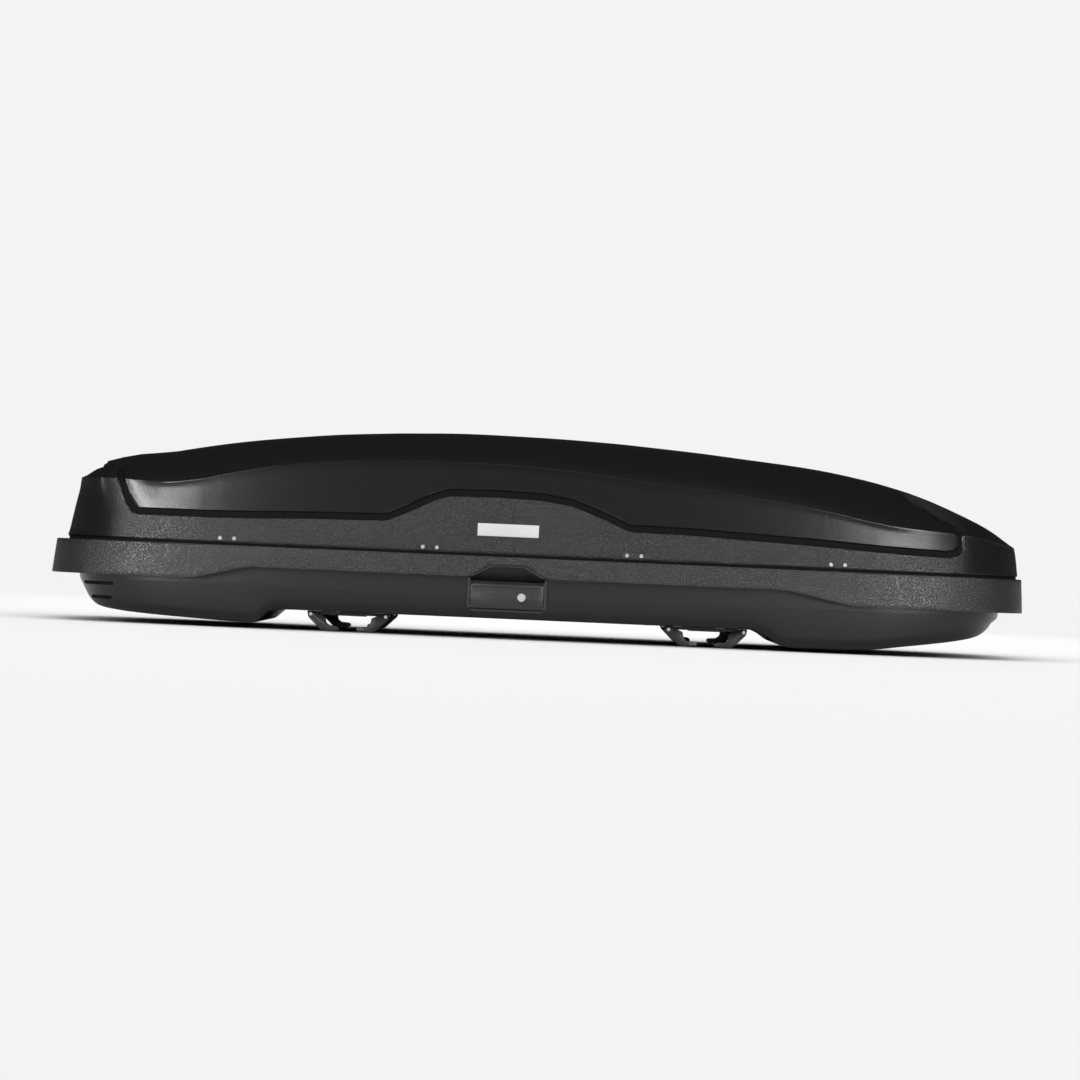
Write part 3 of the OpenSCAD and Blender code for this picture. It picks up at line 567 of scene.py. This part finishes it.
# ---------------------------------------------------------------- lid
# The lid in plan: share of its height or half width, then half width or end reach there
SIDE_T = (0.0, 0.024, 0.12, 0.5, 0.8, 1.0)
SIDE_HALF = (-0.002, 0.0, -0.002, -0.010, -0.016, -0.020)
SIDE_REAR = (1.119, 1.121, 1.117, 1.107, 1.098, 1.095)
SIDE_FRONT = (1.139, 1.141, 1.140, 1.137, 1.134, 1.131)
ROOF_HALF = (0.010, 0.040, 0.150, 0.250, 0.320, 0.370, 0.402, SHOULDER_HALF)
ROOF_REAR = (0.805, 0.830, 0.900, 0.975, 1.030, 1.065, 1.085, SHOULDER_REAR)
ROOF_FRONT = (0.805, 0.830, 0.910, 0.990, 1.050, 1.090, 1.117, SHOULDER_FRONT)


def unpull(x, rear, front):
    reach = np.where(x < 0, rear, front)
    inner = np.clip(np.abs(x) - HOLD, 0, None)
    outer = inner * (HALF_LENGTH - HOLD) / (reach - HOLD)
    return np.sign(x) * (np.minimum(np.abs(x), HOLD) + outer)


def roof_height(x, y):
    stations = np.clip(unpull(x, SHOULDER_REAR, SHOULDER_FRONT), -HALF_LENGTH, HALF_LENGTH)
    half = SHOULDER_HALF * plan_share(stations)
    u = np.clip(np.abs(y) / np.maximum(half, 0.001), 0, 1)
    crease = along(CREASE, x)
    return crease + (along(ROOF, x) - crease) * (1 - u**2.8)


def lid_rows(stations, share, inset, halves, levels):
    """Rows from the crown outwards and down to the edge."""
    rows = []
    for half in halves:
        x = pull(stations, np.interp(half, ROOF_HALF, ROOF_REAR) - inset,
                 np.interp(half, ROOF_HALF, ROOF_FRONT) - inset)
        y = -(half - inset * (half > 0.39)) * share
        rows.append(np.stack([x, y, SEAM + roof_height(x, y) - inset], axis=1))
    crease = along(CREASE, stations)
    for z in levels(stations, crease):
        t = (z - EDGE_GAP) / (crease - EDGE_GAP)
        x = pull(stations, np.interp(t, SIDE_T, SIDE_REAR) - inset,
                 np.interp(t, SIDE_T, SIDE_FRONT) - inset)
        y = -(EDGE_HALF + np.interp(t, SIDE_T, SIDE_HALF) - inset) * share
        rows.append(np.stack([x, y, SEAM + z], axis=1))
    return rows


def side_levels(x, crease):
    """Levels on the lid side from just under the crease to the edge, bunched at the groove."""
    floor = along(GROOVE_FLOOR, np.clip(x, -0.935, 0.952), False)
    rows = [crease - 0.0015, crease - 0.004]
    top = floor + 0.0135
    rows += [crease - 0.004 + (top - crease + 0.004) * k / 8 for k in range(1, 9)]
    rows += [floor + d for d in (0.0105, 0.0090, 0.0078, 0.0066, 0.0050, 0.0, -0.0050,
                                 -0.0066, -0.0078, -0.0090, -0.0105, -0.0135)]
    low = floor - 0.0135
    rows += [low + (0.012 - low) * k / 5 for k in range(1, 5)]
    return rows + [x * 0 + z for z in (0.012, 0.0095, 0.0075, 0.0062)]


def hem_rows(stations, share):
    """The lid's edge turned down behind the rim, so no light passes along the seam."""
    rows = []
    for rear, front, half, z in ((1.1175, 1.1375, 0.4345, 0.006), (1.1175, 1.1375, 0.4345, -0.0026),
                                 (1.1150, 1.1350, 0.4320, -0.0030),
                                 (1.1148, 1.1348, 0.4318, 0.005)):
        x = pull(stations, rear, front)
        rows.append(np.stack([x, -half * share, x * 0 + SEAM + z], axis=1))
    return rows


CROWN_HALVES = (0.012, 0.06, 0.12, 0.18, 0.23, 0.28, 0.315, 0.34, 0.355, 0.367, 0.377, 0.385,
                0.392, 0.398, 0.4035, 0.408, 0.4115, 0.4145, 0.4165, 0.418)


def groove_mask(x, z):
    """1 on the floor of the C-shaped groove, fading out where its two ends run over the roof."""
    near = 1 - smooth_step(0.0062, 0.0088, distance_to(GROOVE, x, z))
    tail_end = 1 - smooth_step(0.158, 0.176, z) * (x < 0)
    nose_end = 1 - 0.75 * smooth_step(0.108, 0.150, z) * (x > 0.80)
    return near * tail_end * nose_end


def lean_tail_columns(rows):
    """Columns near the tail lean with the groove's slanted end, so its edges stay straight."""
    for row in rows:
        x, height = row[:, 0], np.clip(row[:, 2] - SEAM - 0.076, 0, 0.10)
        here = smooth_step(-1.04, -0.985, x) * (1 - smooth_step(-0.93, -0.88, x))
        row[:, 0] = x - 0.45 * height * here
    return rows


def make_lid():
    stations, share = plan_stations(0.0095, ((-1.02, -0.905), (0.86, 1.0)), 0.0030)
    outer = lean_tail_columns(lid_rows(stations, share, 0.0, CROWN_HALVES, side_levels))
    inner = lean_tail_columns(lid_rows(stations, share, SHEET, CROWN_HALVES, side_levels))[::-1]
    ob, ring = closed_skin("lid_moulding", np.array(outer + hem_rows(stations, share) + inner))
    normal = point_normals(ring)
    count = len(outer)
    facing = np.zeros(ring.shape[0])
    facing[:count], facing[-count:] = 1, -1
    x, z = ring[:, :, 0], ring[:, :, 2] - SEAM
    sides = (np.abs(ring[:, :, 1]) > 0.16) * np.abs(facing)[:, None]
    groove = groove_mask(x, z) * sides
    crease_gap = np.abs(z - along(CREASE, x))
    valley = np.exp(-(crease_gap / 0.0075) ** 2) * sides * smooth_step(-0.96, -0.90, x) \
        * (1 - smooth_step(0.78, 0.90, x))
    inward = -normal * facing[:, None, None]
    moved = ring + inward * (groove * GROOVE_DEPTH + valley * VALLEY_DEPTH)[:, :, None]
    ob.data.vertices.foreach_set("co", moved.reshape(-1).astype(np.float32))
    smooth = inside(GROOVE + ((0.860, 0.50), (-0.992, 0.50)), x, z) | (z > 0.20)
    ends = smooth_step(0.90, 1.03, np.abs(x))
    outside = facing[:, None] > 0
    mark(ob, "pebbled", np.where(outside & ~smooth, 1 - ends, 0.0))
    # The groove mask is stored for the shader, which darkens the colour there as painted shade.
    mark(ob, "groove", np.where(outside, groove, 0.0))
    ob.data.materials.append(LID_SKIN)
    # Faces on the groove floor and the hem take the near-black painted shade material.
    shadow = (groove * outside).ravel()
    slots = [int(np.mean(shadow[list(face.vertices)]) > 0.62) for face in ob.data.polygons]
    around = ring.shape[1]
    hem = slice((count - 1) * around, (count + 3) * around)
    slots[hem] = [1] * (4 * around)
    ob.data.polygons.foreach_set("material_index", slots)
    ob.data.update()
    return settle(ob, "lid", "lid_shell", PAINTED_SHADE_BLACK)


# ---------------------------------------------------------------- base
def base_rows(stations, share, rings):
    rows = []
    for rear, front, half, kind, d in rings:
        x = pull(stations, rear, front)
        z = {"rim": lambda: x * 0 + d, "belly": lambda: along(BELLY, x) + d,
             "skirt": lambda: -along(SKIRT, x) + d}[kind]()
        rows.append(np.stack([x, -half * share, SEAM + z], axis=1))
    return rows


def between(a, b, count):
    """Rows between two rings of the same kind."""
    return [tuple(p + (q - p) * k / count if not isinstance(p, str) else p
                  for p, q in zip(a, b)) for k in range(1, count)]


def base_rings():
    w = HALF_WIDTH
    floor_in = (0.830, 0.830, 0.012, "belly", 0.0)
    a = (0.890, 0.900, 0.200, "belly", 0.0)
    b = (0.980, 0.990, 0.330, "belly", 0.0)
    corner = [(1.018, 1.028, w - 0.082, "belly", 0.0), (1.034, 1.045, w - 0.070, "belly", 0.0008),
              (1.045, 1.056, w - 0.060, "belly", 0.0035),
              (1.0525, 1.0635, w - 0.0525, "belly", 0.0078),
              (1.0595, 1.0715, w - 0.0462, "belly", 0.014),
              (1.0655, 1.0780, w - 0.0418, "belly", 0.021),
              (1.070, 1.082, w - 0.0388, "belly", 0.028)]
    wall = [(1.0868, 1.0960, w - 0.0325, "rim", -0.095),
            (1.0880, 1.0970, w - 0.0318, "rim", -0.0915),
            (1.0890, 1.0980, w - 0.0312, "rim", -0.087), (1.096, 1.105, w - 0.028, "rim", -0.014)]
    rim = [(1.140, 1.144, w - 0.009, "rim", -0.014), (1.1495, 1.1495, w - 0.0052, "skirt", 0.001),
           (1.1503, 1.1503, w - 0.0045, "skirt", 0.0), (1.1540, 1.1540, w - 0.0008, "skirt", 0.0),
           (1.1549, 1.1549, w, "skirt", 0.0016), (1.1540, 1.1545, w - 0.0004, "skirt", 0.010)]
    top = [(1.1465, 1.1505, w - 0.0028, "rim", -0.0045),
           (1.1458, 1.1500, w - 0.0032, "rim", -0.0018),
           (1.1443, 1.1485, w - 0.0046, "rim", -0.0002), (1.1425, 1.1475, w - 0.0065, "rim", 0.0),
           (1.1290, 1.1455, EDGE_HALF + 0.0045, "rim", 0.0),
           (1.1272, 1.1442, EDGE_HALF + 0.0032, "rim", -0.0012),
           (1.126, 1.143, EDGE_HALF + 0.0025, "rim", -0.009),
           (1.124, 1.141, EDGE_HALF + 0.0010, "rim", -0.010),
           (1.093, 1.102, w - 0.031, "rim", -0.010), (1.092, 1.101, w - 0.032, "rim", -0.0115)]
    inner = [(1.084, 1.093, w - 0.036, "rim", -0.092), (1.064, 1.076, w - 0.044, "belly", 0.030),
             (1.048, 1.058, w - 0.060, "belly", 0.012), (1.026, 1.036, w - 0.078, "belly", 0.004),
             (0.980, 0.990, 0.330, "belly", 0.004), (0.890, 0.900, 0.200, "belly", 0.004),
             (0.830, 0.830, 0.014, "belly", 0.004)]
    rings = [floor_in] + between(floor_in, a, 4) + [a] + between(a, b, 3) + [b] + corner
    rings += wall[:3] + between(wall[2], wall[3], 5) + [wall[3]] + rim
    return rings, top, inner


def make_base():
    stations, share = plan_stations(0.0095, ((-0.67, -0.60), (0.48, 0.63)), 0.005)
    rings, top, inner = base_rings()
    outer = base_rows(stations, share, rings)
    low, high = outer[-1], base_rows(stations, share, top[:1])[0]
    band = [low + (high - low) * k / 7 for k in range(1, 7)]
    rows = outer + band + base_rows(stations, share, top + inner)
    ob, ring = closed_skin("base_moulding", rows)
    z = ring[:, :, 2] - SEAM
    skirt = np.zeros(z.shape)
    skirt[len(outer) - 5:len(outer) + len(band) + 6] = 1
    mark(ob, "pebbled", skirt * (1 - 0.8 * smooth_step(0.98, 1.12, np.abs(ring[:, :, 0]))))
    ob.data.flip_normals()
    ob.data.materials.append(BASE_SKIN)
    cut_base(ob)
    return settle(ob, "base", "base_shell", None)


def block(name, low, high, edge=0.0, segments=2):
    """A block between two corners, its edges rounded in edit mode."""
    deselect()
    bpy.ops.mesh.primitive_cube_add(size=1, location=[(a + b) / 2 for a, b in zip(low, high)],
                                    scale=[b - a for a, b in zip(low, high)])
    ob = bpy.context.object
    ob.name = name
    bpy.ops.object.transform_apply(location=True, rotation=True, scale=True)
    if edge:
        bpy.ops.object.mode_set(mode="EDIT")
        bpy.ops.mesh.select_all(action="SELECT")
        bpy.ops.mesh.bevel(offset=edge, segments=segments, affect="EDGES")
        bpy.ops.object.mode_set(mode="OBJECT")
    return ob


def extruded(name, corners, move, finish=None):
    """A closed block: one outline carried along a straight move."""
    deselect()
    mesh = bpy.data.meshes.new(name)
    mesh.from_pydata(corners, [], [list(range(len(corners)))])
    if finish:
        mesh.materials.append(finish)
    ob = bpy.data.objects.new(name, mesh)
    bpy.context.scene.collection.objects.link(ob)
    bpy.context.view_layer.objects.active = ob
    ob.select_set(True)
    bpy.ops.object.mode_set(mode="EDIT")
    bpy.ops.mesh.select_all(action="SELECT")
    bpy.ops.mesh.extrude_region_move(TRANSFORM_OT_translate={"value": move})
    bpy.ops.mesh.select_all(action="SELECT")
    bpy.ops.mesh.normals_make_consistent(inside=False)
    bpy.ops.object.mode_set(mode="OBJECT")
    return ob


def outline_prism(name, outline, y0, y1):
    """A side-view outline carried through from y0 to y1."""
    return extruded(name, [(x, y0, z) for x, z in outline], (0, y1 - y0, 0))


def carve(ob, cutters):
    for cutter in cutters:
        mod = ob.modifiers.new("cut", "BOOLEAN")
        mod.object = cutter
        mod.solver = "EXACT"
        mod.material_mode = "TRANSFER"
        bpy.context.view_layer.objects.active = ob
        bpy.ops.object.modifier_apply(modifier=mod.name)
        bpy.data.objects.remove(cutter)


def handle_outline(grow):
    h, t = 0.0925 + grow, 0.0415 + grow
    pts = ((-t, -0.019 + grow), (t, -0.019 + grow), (h, -0.048), (h, -0.117),
           (h - 0.011, -0.128 - grow), (0.011 - h, -0.128 - grow), (-h, -0.117), (-h, -0.048))
    return [(HANDLE_X + x, SEAM + z) for x, z in pts]


# tail end, nose end, level under the seam, then the wall's own tail reach and half width there
LOUVRES = ((-1.066, -0.990, -0.101, 1.0836, 0.4223), (-1.046, -0.994, -0.134, 1.0655, 0.4142))


def louvre_tool(x0, x1, level, reach, half, side):
    """A short band that follows the rear corner a little way into its wall."""
    xs = np.linspace(x0, x1, 16)
    stations = unpull(xs, reach - LOUVRE_DEPTH, reach)
    wall = side * (half - LOUVRE_DEPTH) * plan_share(np.clip(stations, -HALF_LENGTH, HALF_LENGTH))
    outline = [(x, y) for x, y in zip(xs, wall)] + [(x1, side * 0.47), (x0 - 0.02, side * 0.47)]
    corners = [(x, y, SEAM + level - LOUVRE_BAND / 2) for x, y in outline]
    # The louvre cut faces take the near-black painted shade material.
    return extruded("louvre_tool", corners, (0, 0, LOUVRE_BAND), PAINTED_SHADE_BLACK)


def cut_base(ob):
    for side in (-1, 1):
        a, b = sorted((side * 0.386, side * 0.461))
        carve(ob, [outline_prism("handle_mouth", handle_outline(0.0004), a, b)])
        carve(ob, [louvre_tool(*louvre, side) for louvre in LOUVRES])
        for x0, x1 in ((0.278, 0.422), (-0.462, -0.318)):
            a, b = sorted((side * 0.277, side * 0.303))
            carve(ob, [block("slot", (x0, a, 0.03), (x1, b, 0.06))])


# ---------------------------------------------------------------- fittings
def soften(name, width, segments=2):
    """A fitting with its moulded or stamped edges rounded over."""
    source = frame["nodes"][name]
    ob = bpy.data.objects.new(name + "_soft", source.data.copy())
    bpy.context.scene.collection.objects.link(ob)
    deselect()
    bpy.context.view_layer.objects.active = ob
    ob.select_set(True)
    bpy.ops.object.mode_set(mode="EDIT")
    bpy.ops.mesh.select_all(action="SELECT")
    bpy.ops.mesh.remove_doubles(threshold=0.00001)
    bpy.ops.mesh.dissolve_limited(angle_limit=math.radians(1))
    bpy.ops.object.mode_set(mode="OBJECT")
    edge = ob.modifiers.new("edge", "BEVEL")
    edge.width, edge.segments = width, segments
    edge.limit_method, edge.angle_limit = "ANGLE", math.radians(38)
    edge.use_clamp_overlap = True
    bpy.ops.object.modifier_apply(modifier=edge.name)
    bpy.ops.object.shade_smooth_by_angle(angle=math.radians(35))
    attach(ob, source["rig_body"])
    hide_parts(name)
    return ob


CORNERS = ("front_left", "front_right", "rear_left", "rear_right")


def soften_fittings():
    for side in ("left", "right"):
        soften("handle_housing_" + side, 0.0014, 3)
        soften("handle_paddle_" + side, 0.0012, 3)
        soften("badge_plate_" + side, 0.0004)
    for corner in CORNERS:
        soften("clamp_body_" + corner, 0.0009)
        soften("claw_front_of_" + corner, 0.0009)
        soften("claw_back_of_" + corner, 0.0009)
        soften("clamp_knob_" + corner, 0.0012)


make_lid()
make_base()
soften_fittings()
